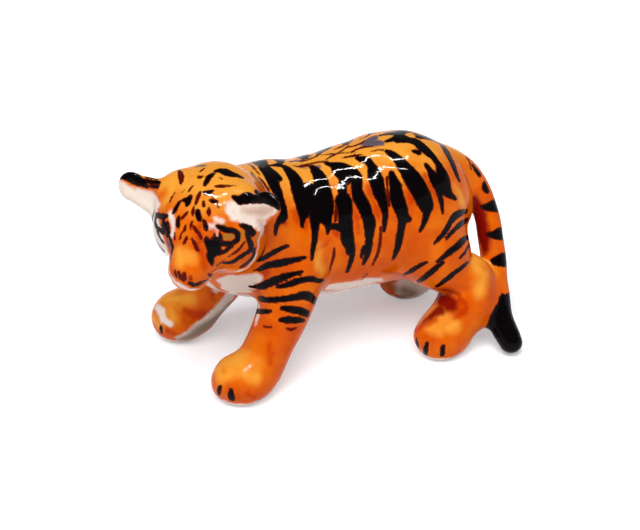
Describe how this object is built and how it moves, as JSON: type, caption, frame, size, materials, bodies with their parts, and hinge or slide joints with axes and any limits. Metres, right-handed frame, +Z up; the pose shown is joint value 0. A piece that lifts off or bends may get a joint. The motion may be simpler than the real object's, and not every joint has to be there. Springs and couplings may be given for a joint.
{
  "type": "tiger cub figurine",
  "caption": "Small glazed ceramic tiger cub, walking with its head turned to its left and lowered, hand painted orange with black stripes.",
  "frame": {"origin": "bottom centre of the figurine's box, on the surface that its four soles stand on", "axes": "+Z up, the head points to -X, the left flank faces -Y, and the tail hangs at +X"},
  "size_m": [0.0608, 0.0306, 0.0368],
  "materials": {
    "glazed_ceramic": "gloss"
  },
  "bodies": {
    "root": {"tiger": "glazed_ceramic"}
  },
  "joints": []
}
